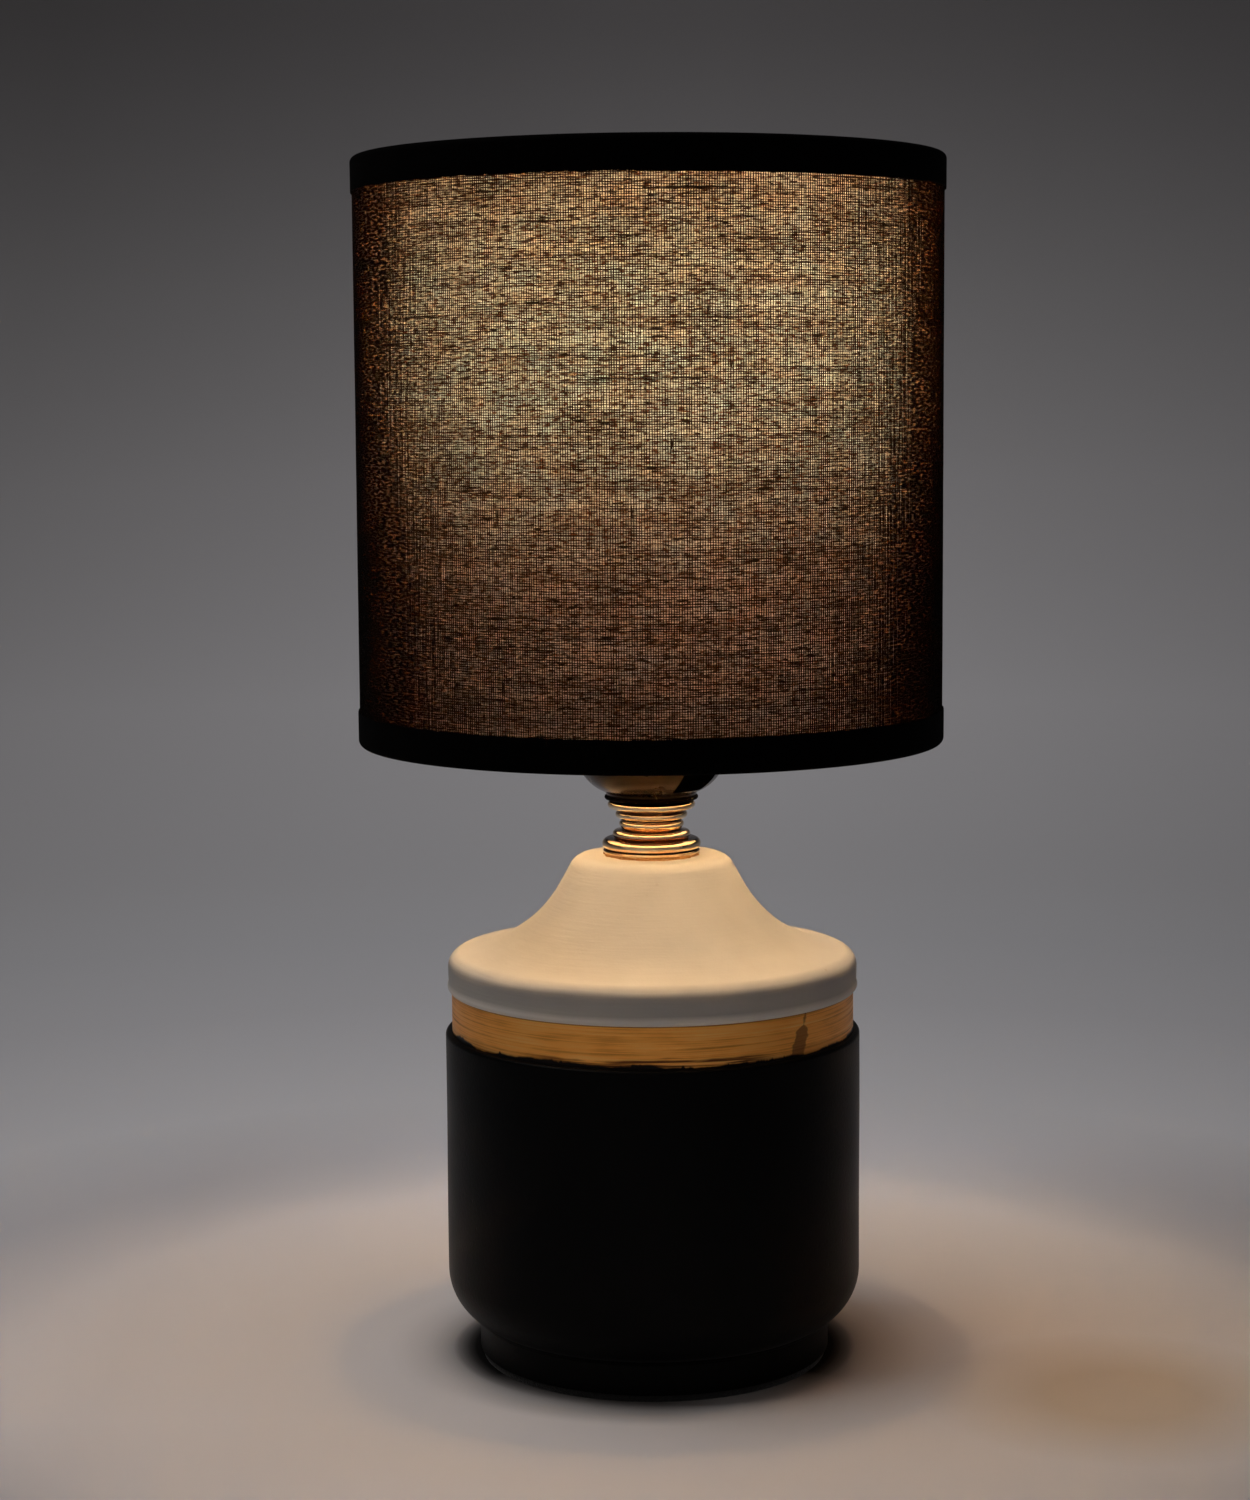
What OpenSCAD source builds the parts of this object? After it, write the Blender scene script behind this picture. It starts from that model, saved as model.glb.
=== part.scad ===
// Table lamp: a ceramic base with a brass neck, an E27 lampholder, a drum shade
// on a ring-and-spider frame, and a candle bulb. Millimetres, +Z up. The origin
// is the centre of the felt pad's underside, where the lamp stands.

/* [Ceramic base] */
// Largest radius of the black base
base_r = 57.7; // [55:0.1:60]
// Height of the black base's top edge
base_top = 92.4; // [88:0.1:96]
// Radius of the foot that the base stands on
foot_r = 49; // [46:0.5:50]
// Height of the foot under the rounded lower corner
foot_h = 10.5; // [9:0.5:12]
// Radius of the recessed band
band_r = 55.85; // [54:0.05:56.5]
// Height of the band
band_h = 11.4; // [9:0.1:14]
// Radius of the cap's rim
cap_r = 56.85; // [56:0.05:58]
// Height of the cap's flat top above its rim's lower edge
cap_h = 37.2; // [36:0.1:38]
// Thickness of the ceramic wall
wall = 5; // [4:0.5:6]

/* [Neck and lampholder] */
// Height of the brass neck
neck_h = 15.5; // [14:0.5:17]
// Outer radius of the lampholder's dome
dome_r = 20.8; // [20.5:0.1:21.2]
// Outer radius of the threaded tube through the lamp
tube_r = 5; // [4.9:0.05:5]
// Radius of the E27 screw shell's bore
shell_r = 13.4; // [13.3:0.05:13.5]

/* [Shade] */
// Outer radius of the shade's fabric
shade_r = 79.9; // [78:0.1:82]
// Height of the shade
shade_h = 158; // [150:1:165]
// Height of the shade's lower edge above the table
shade_z = 173; // [172:0.5:174]
// Height of the trim tape at each edge
trim_h = 9; // [7:0.5:11]
// Radius of the wire in the shade's frame
wire_r = 1.3; // [1.1:0.1:1.5]

/* [Bulb] */
// Largest radius of the candle bulb
bulb_r = 17.8; // [16.5:0.1:18.2]
// Height of the bulb's tip above its contact
bulb_h = 104; // [98:1:108]

/* [Cord outlet] */
// Height of the cord outlet above the table
outlet_z = 30.5; // [26:0.5:36]
// Angle of the cord outlet, from +X towards the back
outlet_angle = 12; // [0:1:40]
// Radius of the hole that the cord passes through
outlet_r = 3.2; // [2.8:0.1:3.4]

/* [Hidden] */
$fn = 96;

felt_t = 2;                       // felt pad under the foot
floor_z = 14;                     // underside of the ceramic floor
corner_r = 15;                    // rounding of the base's lower corner
corner_z = foot_h + corner_r - 0.6;
band_top = base_top + band_h;
cap_top = band_top + cap_h;
neck_top = cap_top + neck_h;
fit = 0.1;                        // clearance of the tube in its holes
tube_bottom = 6;
tube_top = neck_top + 8;
tube_bore = 3.5;
dome_rim = neck_top + 19.5;       // upper edge of the dome
skirt_r = 20.6;
thread_r = 19.7;                  // outer radius of the skirt's thread
collar_z = neck_top + 31.5;       // top of the skirt's collar
skirt_top = neck_top + 49.5;
block_z = dome_rim - 8;           // underside of the terminal block
block_top = dome_rim + 7;
washer_t = 1.2;                   // the spider's centre washer
gap = 0.1;                        // between the washer and what clamps it
washer_z = collar_z + gap;
ring_z = washer_z + washer_t + gap;
ring_h = 7.5;
shade_top = shade_z + shade_h;
cloth_t = 0.5;
liner_t = 0.4;
liner_r = shade_r - cloth_t;
hoop_r = liner_r - liner_t - wire_r - 0.05;   // centre line of both wire rings
lower_hoop_z = shade_z + wire_r + 0.6;
arm_angles = [90, 210, 330];      // directions of the spider's arms
bulb_z = block_top + 4.2;         // lowest point of the bulb
screw_cap_z = bulb_z + 4.5;
screw_cap_h = 20;
housing_z = screw_cap_z + screw_cap_h;
housing_h = 24;
globe_z = housing_z + housing_h;
bulb_top = bulb_z + bulb_h;

// Points along an arc in the profile plane, from angle a0 to a1
function arc(x, z, r, a0, a1, n = 8) =
    [for (i = [0:n]) let (a = a0 + (a1 - a0) * i / n) [x + r * cos(a), z + r * sin(a)]];

// Turns a closed profile of [radius, height] points about the lamp's axis
module lathe(points) {
    rotate_extrude() polygon(points);
}

// A flat-faced ring
module ring(outer, inner, z, h) {
    translate([0, 0, z]) difference() {
        cylinder(r = outer, h = h);
        translate([0, 0, -1]) cylinder(r = inner, h = h + 2);
    }
}

// A round wire bent into a hoop
module hoop(r, z) {
    translate([0, 0, z]) rotate_extrude() translate([r, 0]) circle(r = wire_r, $fn = 32);
}

// Places a child so that its +X points out through the cord outlet
module at_outlet() {
    translate([0, 0, outlet_z]) rotate([0, 0, outlet_angle]) children();
}

// ---- ceramic body and its foot ----

module felt_pad() {
    color("black") cylinder(r = foot_r - 1, h = felt_t);
}

// Black part: foot, rounded lower corner, straight side and rounded top edge
module ceramic_base() {
    edge = 1;
    inner_r = base_r - wall;
    outside = concat([[foot_r, felt_t], [foot_r, foot_h]],
                     arc(base_r - corner_r, corner_z, corner_r, -64, 0, 10),
                     arc(base_r - edge, base_top - edge, edge, 0, 90, 4));
    inside = [[inner_r - 1, base_top], [inner_r - 1, base_top - 6],
              [inner_r, base_top - 7], [inner_r, corner_z],
              [inner_r - 8, floor_z + wall], [11, floor_z + wall]];
    underside = [[11, floor_z], [foot_r - 6, floor_z], [foot_r - 5, felt_t]];
    color([0.03, 0.03, 0.03]) difference() {
        lathe(concat(outside, inside, underside));
        at_outlet() rotate([0, 90, 0]) {
            translate([0, 0, inner_r - 5]) cylinder(r = 4.1, h = 20);
            translate([0, 0, base_r - 0.4]) cylinder(r = 4.9, h = 5);
        }
    }
}

// Recessed gold band between the base and the cap
module gold_band() {
    color([0.62, 0.45, 0.22])
        ring(band_r, base_r - wall - 1, base_top, band_h);
}

// White part: rounded rim, curved shoulder and the stub that carries the neck
module ceramic_cap() {
    lip = 4;
    sweep_r = 37;
    shoulder_r = 5;
    stub_r = 23.2;
    // the rim's arc and the long concave sweep touch where their centres line up
    lip_at = [cap_r - lip, band_top + 6.5];
    sweep_x = cap_r + 1;
    meet = acos((sweep_x - lip_at[0]) / (lip + sweep_r));
    sweep_at = [sweep_x, lip_at[1] + (lip + sweep_r) * sin(meet)];
    rim = concat([[band_r - 0.3, band_top], [cap_r - 0.6, band_top + 0.3],
                  [cap_r, band_top + 1.6]],
                 arc(lip_at[0], lip_at[1], lip, 0, meet, 8));
    sweep = arc(sweep_at[0], sweep_at[1], sweep_r, 180 + meet, 208, 14);
    top = concat(arc(stub_r - shoulder_r, cap_top - shoulder_r, shoulder_r, 28, 90, 6),
                 [[tube_r + 1, cap_top], [tube_r + 1, cap_top - wall]]);
    inside = [[15, cap_top - wall - 2], [20, cap_top - 14], [26, cap_top - 22],
              [36, band_top + 9], [47, band_top + 5], [base_r - wall - 1, band_top]];
    color([0.9, 0.88, 0.84]) lathe(concat(rim, sweep, top, inside));
}

// Rubber bush that the cord leaves through, with a flange on both sides
module cord_grommet() {
    color("black") at_outlet() rotate([0, 90, 0]) difference() {
        union() {
            translate([0, 0, base_r - 0.4]) cylinder(r = 4.6, h = 1.4);
            translate([0, 0, base_r - wall - 1.8]) cylinder(r = 4, h = wall + 1.8);
            translate([0, 0, base_r - wall - 1.8]) cylinder(r = 4.6, h = 1.4);
        }
        translate([0, 0, base_r - wall - 3]) cylinder(r = outlet_r, h = wall + 6);
    }
}

// ---- the clamp that holds the stack together ----

module bottom_washer() {
    color("silver") ring(19, tube_r + fit, floor_z - 1.6, 1.6);
}

module bottom_nut() {
    across_corners = 9.6;
    color("silver") translate([0, 0, floor_z - 6.6]) difference() {
        cylinder(r = across_corners, h = 5, $fn = 6);
        translate([0, 0, -1]) cylinder(r = tube_r + fit, h = 7);
    }
}

module threaded_tube() {
    color("silver") ring(tube_r, tube_bore, tube_bottom, tube_top - tube_bottom);
}

// Turned brass neck: a foot ring, a waist between beads, and a top ring
module brass_neck() {
    foot_ring = 13.8;
    top_ring = 11.9;
    waist = 8.9;
    z = cap_top;
    profile = concat([[tube_r + fit, z], [foot_ring - 0.8, z]],
                     arc(foot_ring - 1.2, z + 1.4, 1.3, -70, 80, 6),
                     arc(foot_ring - 1.3, z + 3.5, 1.1, -60, 100, 6),
                     [[10.4, z + 4.9]],
                     arc(10.1, z + 5.9, 0.8, -70, 80, 6),
                     [[9.3, z + 7.1], [waist, z + 8.2], [waist, z + 9.6], [9.7, z + 11]],
                     arc(top_ring - 1, z + 12.2, 0.9, -80, 70, 6),
                     arc(top_ring - 0.8, z + 14.1, 0.9, -70, 80, 6),
                     [[10.8, z + neck_h], [tube_r + fit, z + neck_h]]);
    color([0.85, 0.62, 0.3]) lathe(profile);
}

// ---- lampholder ----

// Bowl of the lampholder, with the threaded collar that the tube screws into
module holder_dome() {
    t = 0.9;
    bowl_r = 12;
    bowl_x = dome_r - bowl_r;
    bowl_z = neck_top + 13.5;
    outside = concat([[12.4, neck_top], [13.3, neck_top + 0.8], [13.3, neck_top + 2]],
                     arc(bowl_x, bowl_z, bowl_r, -66, 0, 9),
                     [[dome_r, dome_rim]]);
    inside = concat([[dome_r - t, dome_rim]],
                    arc(bowl_x, bowl_z, bowl_r - t, 0, -80, 9),
                    [[7.6, neck_top + 2.2], [7.6, neck_top + 9], [tube_r + fit, neck_top + 9],
                     [tube_r + fit, neck_top]]);
    color([0.5, 0.38, 0.2]) difference() {
        lathe(concat(outside, inside));
        translate([0, 0, neck_top + 6.5]) rotate([0, 90, 0]) cylinder(r = 1.6, h = 9);
    }
}

// Screw in the collar that keeps the tube from turning
module grub_screw() {
    color("silver") translate([tube_r + 0.2, 0, neck_top + 6.5]) rotate([0, 90, 0]) difference() {
        cylinder(r = 1.5, h = 4.4);
        translate([-0.3, -2, 3.4]) cube([0.6, 4, 2]);
    }
}

// Places its children at the two terminals
module at_terminals() {
    for (side = [-1, 1]) translate([side * 9.5, 0, 0]) children();
}

module terminal_block() {
    block_r = 17;
    color([0.85, 0.82, 0.75]) translate([0, 0, block_z]) difference() {
        cylinder(r = block_r, h = block_top - block_z);
        at_terminals() {
            translate([0, 0, -1]) cylinder(r = 2.2, h = 8);
            translate([0, 8.5, 3.5]) cube([7, 18, 9], center = true);
        }
        translate([0, 0, -1]) cylinder(r = 4, h = 7);
    }
}

// Two terminal screws, each with a slotted head
module terminal_screws() {
    color("silver") at_terminals() translate([0, 0, block_z - 1.6]) difference() {
        union() {
            cylinder(r = 3, h = 1.5);
            cylinder(r = 1.7, h = 7);
        }
        translate([-3.5, -0.4, -1]) cube([7, 0.8, 1.7]);
    }
}

// Rolled screw shell with the E27 thread
module screw_shell() {
    pitch = 3.63;
    turns = 5;
    t = 0.4;
    depth = 0.5;
    z = block_top;
    outer = [for (i = [0:2 * turns]) [shell_r + t + (i % 2 == 0 ? depth : 0), z + 1 + i * pitch / 2]];
    inner = [for (i = [2 * turns:-1:0]) [shell_r + (i % 2 == 0 ? depth : 0), z + 1 + i * pitch / 2]];
    color([0.8, 0.65, 0.35])
        lathe(concat([[9.5, z], [shell_r + t, z]], outer, inner, [[shell_r, z + t], [9.5, z + t]]));
}

// Leaf that presses on the bulb's tip
module centre_contact() {
    color([0.8, 0.65, 0.35]) translate([-3, 0, block_top]) {
        translate([-3.5, -2.5, 0]) cube([5, 5, 0.6]);
        translate([0, 2.5, 0.6]) rotate([90, 0, 0]) linear_extrude(height = 5)
            polygon([[-3, 0], [1.5, 0], [6, 2.9], [6, 3.5], [1, 0.9], [-3, 0.9]]);
    }
}

// Tab that joins the second terminal to the screw shell
module side_contact() {
    color([0.8, 0.65, 0.35]) translate([15.2, -3, block_top]) cube([1.2, 6, 8]);
}

// Threaded skirt with the collar that the shade's washer sits on
module holder_skirt() {
    bore_r = 17.4;
    pitch = 1.6;
    turns = floor((skirt_top - collar_z - 1) / pitch);
    thread = [for (i = [0:2 * turns]) [thread_r - (i % 2 == 0 ? 0.5 : 0), collar_z + 0.8 + i * pitch / 2]];
    profile = concat([[bore_r, dome_rim - 3], [dome_r - 1.1, dome_rim - 3], [dome_r - 1.1, dome_rim],
                      [skirt_r, dome_rim], [skirt_r, collar_z - 2.6], [24, collar_z - 2],
                      [24, collar_z], [thread_r - 0.5, collar_z]],
                     thread,
                     [[thread_r - 0.6, skirt_top], [bore_r, skirt_top]]);
    color([0.06, 0.06, 0.06]) lathe(profile);
}

// ---- shade ----

// Ring nut that clamps the shade, with grips round its rim
module shade_ring_nut() {
    bore = thread_r + 0.3;
    grips = 24;
    color([0.06, 0.06, 0.06]) difference() {
        union() {
            ring(22.5, bore, ring_z, ring_h);
            ring(26, bore, ring_z, 2);
        }
        for (i = [0:grips - 1]) rotate([0, 0, i * 360 / grips])
            translate([23.1, 0, ring_z + 2.6]) cylinder(r = 1.1, h = ring_h);
    }
}

// Washer with three arms that slope down to the lower wire ring
module shade_spider() {
    washer_r = 27;
    arm_start = [washer_r - 0.6, washer_z + washer_t / 2];
    arm_end = [hoop_r - 0.6, lower_hoop_z + 0.3];
    reach = arm_end - arm_start;
    color([0.75, 0.75, 0.74]) {
        ring(washer_r, thread_r + 0.45, washer_z, washer_t);
        for (a = arm_angles) rotate([0, 0, a]) translate([arm_start[0], 0, arm_start[1]])
            rotate([0, 90 - atan(reach[1] / reach[0]), 0])
                cylinder(r = wire_r, h = norm(reach), $fn = 32);
    }
}

// Wire ring in the lower edge, welded to the three arms
module lower_wire_ring() {
    color([0.75, 0.75, 0.74]) hoop(hoop_r, lower_hoop_z);
}

module upper_wire_ring() {
    color([0.75, 0.75, 0.74]) hoop(hoop_r, shade_top - wire_r - 0.6);
}

// Clear stiff sheet that the fabric is bonded to
module shade_liner() {
    color([0.92, 0.9, 0.84]) ring(liner_r, liner_r - liner_t, shade_z + 0.3, shade_h - 0.6);
}

module shade_fabric() {
    color([0.2, 0.17, 0.13]) ring(shade_r, liner_r, shade_z + 0.3, shade_h - 0.6);
}

// Tape folded round an edge of the shade and its wire ring
module trim_tape() {
    t = 0.5;
    lap = 4.6;
    inner_r = hoop_r - wire_r - t - 0.1;
    lathe([[shade_r, 0.35], [shade_r, trim_h], [shade_r + t, trim_h], [shade_r + t, -0.3],
           [inner_r, -0.3], [inner_r, lap], [inner_r + t, lap], [inner_r + t, 0.25],
           [shade_r, 0.25]]);
}

module top_trim() {
    color("black") translate([0, 0, shade_top]) mirror([0, 0, 1]) trim_tape();
}

// The lower tape is slit where the spider's arms pass through it
module bottom_trim() {
    slit = [3, 3.2, 5];
    color("black") difference() {
        translate([0, 0, shade_z]) trim_tape();
        for (a = arm_angles) rotate([0, 0, a])
            translate([hoop_r - 3.5, -slit[1] / 2, shade_z + 0.6]) cube(slit);
    }
}

// ---- bulb ----

// Nickel-plated E27 cap with a rolled thread
module bulb_screw_cap() {
    pitch = 3.63;
    crest = 12.95;
    root = 12.4;
    z = screw_cap_z;
    thread = [for (i = [0:8]) [i % 2 == 0 ? root : crest, z + 1.4 + i * pitch / 2]];
    color([0.75, 0.75, 0.74])
        lathe(concat([[9.2, z], [root - 1.2, z]], thread,
                     [[root, z + screw_cap_h], [root - 0.7, z + screw_cap_h],
                      [root - 0.7, z + 1.6], [9.2, z + 1.2]]));
}

module bulb_insulator() {
    color([0.08, 0.08, 0.1])
        lathe([[0, screw_cap_z], [9.2, screw_cap_z], [8.4, screw_cap_z - 1.4],
               [5.2, bulb_z + 1.2], [0, bulb_z + 1.2]]);
}

module bulb_tip_contact() {
    color("silver") lathe(concat([[0, bulb_z + 1.2]], arc(0, bulb_z + 1.2, 3.6, 0, -20, 2),
                                 [[2.4, bulb_z + 0.2], [0, bulb_z]]));
}

// White plastic collar between the screw cap and the diffuser
module bulb_housing() {
    t = 1.4;
    z = housing_z;
    color([0.92, 0.92, 0.9])
        lathe([[13.2, z], [13.6, z + 3], [bulb_r - 1.2, z + housing_h - 2],
               [bulb_r - 1.2, z + housing_h], [bulb_r - 1.2 - t, z + housing_h],
               [bulb_r - 1.2 - t, z + housing_h - 2], [12.2, z + 3], [11.9, z]]);
}

module led_driver() {
    color([0.1, 0.35, 0.2]) translate([-8, -0.8, screw_cap_z + 4]) cube([16, 1.6, 32]);
}

module led_board() {
    color([0.85, 0.85, 0.85]) translate([0, 0, globe_z - 3.5]) cylinder(r = bulb_r - 3, h = 1.6);
}

// Eight light sources in a circle on the board
module led_chips() {
    count = 8;
    color([0.95, 0.85, 0.4]) for (i = [0:count - 1]) rotate([0, 0, i * 360 / count])
        translate([8.4, -1.4, globe_z - 1.9]) cube([2.8, 2.8, 0.8]);
}

// Opal candle-shaped shell
module bulb_diffuser() {
    t = 1;
    length = bulb_top - globe_z;
    // an ogive: full width near the bottom, drawn to a blunt tip
    function half(u) = bulb_r * (u < 0.25 ? 0.93 + 0.28 * u : sqrt(1 - pow((u - 0.25) / 0.76, 2)));
    steps = 16;
    outer = [for (i = [0:steps - 1]) let (u = i / steps) [half(u), globe_z + u * length]];
    inner = [for (i = [steps - 1:-1:0]) let (u = i / steps)
                [max(half(u) - t, 0.6), globe_z + u * (length - 1.2)]];
    color([0.97, 0.95, 0.9]) lathe(concat(outer, [[3, bulb_top], [0, bulb_top],
                                                  [0, bulb_top - t]], inner));
}

felt_pad();
ceramic_base();
gold_band();
ceramic_cap();
cord_grommet();
bottom_washer();
bottom_nut();
threaded_tube();
brass_neck();
holder_dome();
grub_screw();
terminal_block();
terminal_screws();
screw_shell();
centre_contact();
side_contact();
holder_skirt();
shade_ring_nut();
shade_spider();
lower_wire_ring();
upper_wire_ring();
shade_liner();
shade_fabric();
top_trim();
bottom_trim();
bulb_screw_cap();
bulb_insulator();
bulb_tip_contact();
bulb_housing();
led_driver();
led_board();
led_chips();
bulb_diffuser();
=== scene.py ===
"""Looks of a small table lamp: a ceramic base in black, gold and white, a polished brass neck, and a
drum shade of slubby black cloth that the lit bulb shines through.

Profiles and yarns are in millimetres from the lamp's axis and the table, and become metres when a mesh
is made. The camera, the lights and the places that shaders read are in metres. The lamp's front faces
-Y, towards the camera, and angles round the lamp start there."""
import math

import bmesh
import bpy
import numpy as np
from mathutils import Matrix, Vector


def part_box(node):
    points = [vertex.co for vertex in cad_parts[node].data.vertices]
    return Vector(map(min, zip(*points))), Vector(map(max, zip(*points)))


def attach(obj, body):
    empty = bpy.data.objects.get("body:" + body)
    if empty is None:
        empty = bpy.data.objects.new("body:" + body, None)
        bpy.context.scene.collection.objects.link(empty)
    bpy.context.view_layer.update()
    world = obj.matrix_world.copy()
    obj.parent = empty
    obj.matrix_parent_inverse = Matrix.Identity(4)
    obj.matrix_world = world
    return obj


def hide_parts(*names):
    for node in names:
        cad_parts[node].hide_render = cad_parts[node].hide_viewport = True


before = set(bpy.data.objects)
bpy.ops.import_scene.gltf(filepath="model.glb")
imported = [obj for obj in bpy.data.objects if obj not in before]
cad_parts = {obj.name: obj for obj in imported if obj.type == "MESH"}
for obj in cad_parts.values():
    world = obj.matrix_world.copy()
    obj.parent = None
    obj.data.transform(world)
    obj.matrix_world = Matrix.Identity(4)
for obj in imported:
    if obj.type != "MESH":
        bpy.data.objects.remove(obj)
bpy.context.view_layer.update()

MM = 0.001
ROUND_STEPS = 192  # facets round a turned piece
SHARP_ANGLE = 38.0  # edges sharper than this stay crisp, in degrees

CAMERA_LENS = 72.6  # focal length in mm, on Blender's usual 36 mm sensor
CAMERA_AT = (-0.0072, -0.8307, 0.2671)
CAMERA_TILT = 83.337  # degrees up from straight down
CAMERA_ROLL = -0.377

BULB_STRENGTH = 408.0  # emission of the brightest part of the bulb's shell
SOFTBOX_WATTS = 11.8
BACKDROP_WATTS = 1.7
CARD_WATTS = 0.0062
WORLD_STRENGTH = 0.02
LINER_PASSES = 0.185  # share of the light that the liner scatters through
CLOTH_SHUT = 0.15  # share of the cloth's ground that is closed even at its thinnest

SWEEP_REACH = 2.0  # how far from the axis the backdrop's painted tones of light and shade reach, in metres
CORD_HOLE_R = 0.0041  # in metres
CLOTH_LIFT = 0.35  # how far the cloth's ground lies outside the liner
WARP_PITCH = 0.66  # from one upright yarn to the next
WEFT_ROWS = 258  # level yarns from the bottom of the cloth to its top
SLUBS, LONG_SLUBS, KNOTS = 5000, 24, 46  # thick places in the cloth
RIDGE = [(-1, 0), (-0.45, 1), (0.45, 1), (1, 0)]  # outline of a flat yarn, see strands()
ROUND_RIDGE = [(-1, 0), (0, 1), (1, 0)]  # outline of a round one


def reach(node):
    """(largest radius, lowest height, highest height) of a CAD node, in mm."""
    low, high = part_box(node)
    return high.x / MM, low.z / MM, high.z / MM


# ---------------------------------------------------------------- meshes


def arc(x, z, radius, start, end, points=12):
    """Points along an arc of a profile, centred on (x, z), from the angle start to end in degrees."""
    angles = np.radians(np.linspace(start, end, points))
    return [(x + radius * math.cos(a), z + radius * math.sin(a)) for a in angles]


def piece_from(name, points, quads):
    """An object from an array of points in mm and an array of quads."""
    mesh = bpy.data.meshes.new(name)
    mesh.vertices.add(len(points))
    mesh.vertices.foreach_set("co", (points * MM).astype(np.float32).ravel())
    mesh.loops.add(quads.size)
    mesh.loops.foreach_set("vertex_index", quads.astype(np.int32).ravel())
    mesh.polygons.add(len(quads))
    mesh.polygons.foreach_set("loop_start", np.arange(0, quads.size, 4, dtype=np.int32))
    mesh.update(calc_edges=True)
    piece = bpy.data.objects.new(name, mesh)
    bpy.context.scene.collection.objects.link(piece)
    return piece


def grid_quads(rows, columns, join_rows, join_columns):
    """Quads of a grid of points, joined round on itself where asked."""
    r = np.arange(rows if join_rows else rows - 1)[:, None]
    c = np.arange(columns if join_columns else columns - 1)[None, :]
    r1, c1 = (r + 1) % rows, (c + 1) % columns
    corners = [r * columns + c, r1 * columns + c, r1 * columns + c1, r * columns + c1]
    return np.stack(np.broadcast_arrays(*corners), axis=-1).reshape(-1, 4)


def smooth(piece):
    """Shades a piece smoothly, with its sharp edges left crisp."""
    piece.data.shade_smooth()
    piece.data.set_sharp_from_angle(angle=math.radians(SHARP_ANGLE))


def turned(name, profile, closed=True, steps=ROUND_STEPS, change=None):
    """Turns a profile of (radius, height) points about the axis. change(angle, radius, height), with the
    angle in radians, may return each point's radius and height a little changed, as hand work does."""
    profile = np.array(profile, float)
    angle = np.linspace(0, 2 * math.pi, steps, endpoint=False)[:, None]
    radius = np.broadcast_to(profile[:, 0], (steps, len(profile)))
    height = np.broadcast_to(profile[:, 1], (steps, len(profile)))
    if change:
        radius, height = change(angle, radius, height)
    points = np.stack([radius * np.sin(angle), -radius * np.cos(angle), height], axis=-1)
    piece = piece_from(name, points.reshape(-1, 3), grid_quads(steps, len(profile), True, closed))
    weld(piece)
    smooth(piece)
    return piece


def weld(piece):
    """Joins points that lie together, as on the axis, and turns all faces outwards."""
    together = 1e-6  # metres
    mesh = bmesh.new()
    mesh.from_mesh(piece.data)
    bmesh.ops.remove_doubles(mesh, verts=mesh.verts, dist=together)
    bmesh.ops.recalc_face_normals(mesh, faces=mesh.faces)
    mesh.to_mesh(piece.data)
    mesh.free()


def strands(name, radius, angle, height, half_width, rise, section, upright, joined=False):
    """Many yarns laid on a drum of that radius, upright or level. angle (in radians), height, half_width
    and rise are arrays of yarns by stations along them. section is one yarn's outline, as (across, out)
    shares of its half width and rise. Joined yarns close on themselves."""
    across = np.array([a for a, _ in section])
    out = np.array([o for _, o in section])
    shift = half_width[..., None] * across
    angle = angle[..., None] + (shift / radius if upright else 0 * shift)
    height = height[..., None] + (0 * shift if upright else shift)
    r = radius + rise[..., None] * out
    points = np.stack([r * np.sin(angle), -r * np.cos(angle), height], axis=-1)
    yarns, stations, around = points.shape[:3]
    quads = grid_quads(stations, around, joined, False)
    starts = np.arange(yarns)[:, None, None] * stations * around
    piece = piece_from(name, points.reshape(-1, 3), (quads[None] + starts).reshape(-1, 4))
    piece.data.shade_smooth()
    return piece


def dress(piece, body, material, slot, *replaced):
    """Finishes a piece: the body it moves with, its material, the record's slot or None (not used), and the
    CAD nodes that it stands for."""
    piece.data.materials.clear()
    piece.data.materials.append(material)
    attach(piece, body)
    if replaced:
        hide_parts(*replaced)
    return piece


# ------------------------------------------------------------- materials


def add(tree, kind, inputs=(), **settings):
    """Adds a shader node. inputs pairs a socket's name or number with a value or another socket."""
    node = tree.nodes.new("ShaderNode" + kind)
    for key, value in settings.items():
        setattr(node, key, value)
    for key, value in dict(inputs).items():
        if isinstance(value, bpy.types.NodeSocket):
            tree.links.new(value, node.inputs[key])
        else:
            node.inputs[key].default_value = value
    return node


def material(name, **values):
    """A new material with its Principled node's plain values set: (material, tree, shader)."""
    made = bpy.data.materials.new(name)
    made.use_nodes = True
    tree = made.node_tree
    shader = tree.nodes["Principled BSDF"]
    for key, value in values.items():
        shader.inputs[key.replace("_", " ")].default_value = value
    return made, tree, shader


def ramp(tree, factor, *stops):
    """A colour ramp's output. Each stop is (place, colour) or (place, grey level)."""
    node = add(tree, "ValToRGB", {"Fac": factor})
    elements = node.color_ramp.elements
    while len(elements) < len(stops):
        elements.new(0.5)
    for element, (place, colour) in zip(elements, stops):
        element.position = place
        grey = isinstance(colour, (int, float))
        element.color = (colour, colour, colour, 1) if grey else (*colour, 1)
    return node.outputs["Color"]


def math_node(tree, operation, *values):
    """The result of one sum on numbers or sockets."""
    return add(tree, "Math", enumerate(values), operation=operation).outputs[0]


def mix_colours(tree, share, first, second, blend_type="MIX"):
    """Two colours mixed or multiplied: share is how much the second one counts."""
    inputs = {"Fac": share, "Color1": first, "Color2": second}
    return add(tree, "MixRGB", inputs, blend_type=blend_type).outputs[0]


def mix_shaders(tree, share, first, second):
    """Two shader nodes mixed into a third: share is how much of the second one shows."""
    return add(tree, "MixShader", {0: share, 1: first.outputs[0], 2: second.outputs[0]})


def use_surface(tree, shader):
    """Makes a shader node the material's surface, in place of its Principled node."""
    tree.links.new(shader.outputs[0], tree.nodes["Material Output"].inputs["Surface"])


def place(tree):
    """Where a point of the piece is, in metres in the lamp's frame."""
    return add(tree, "TexCoord").outputs["Object"]


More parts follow.
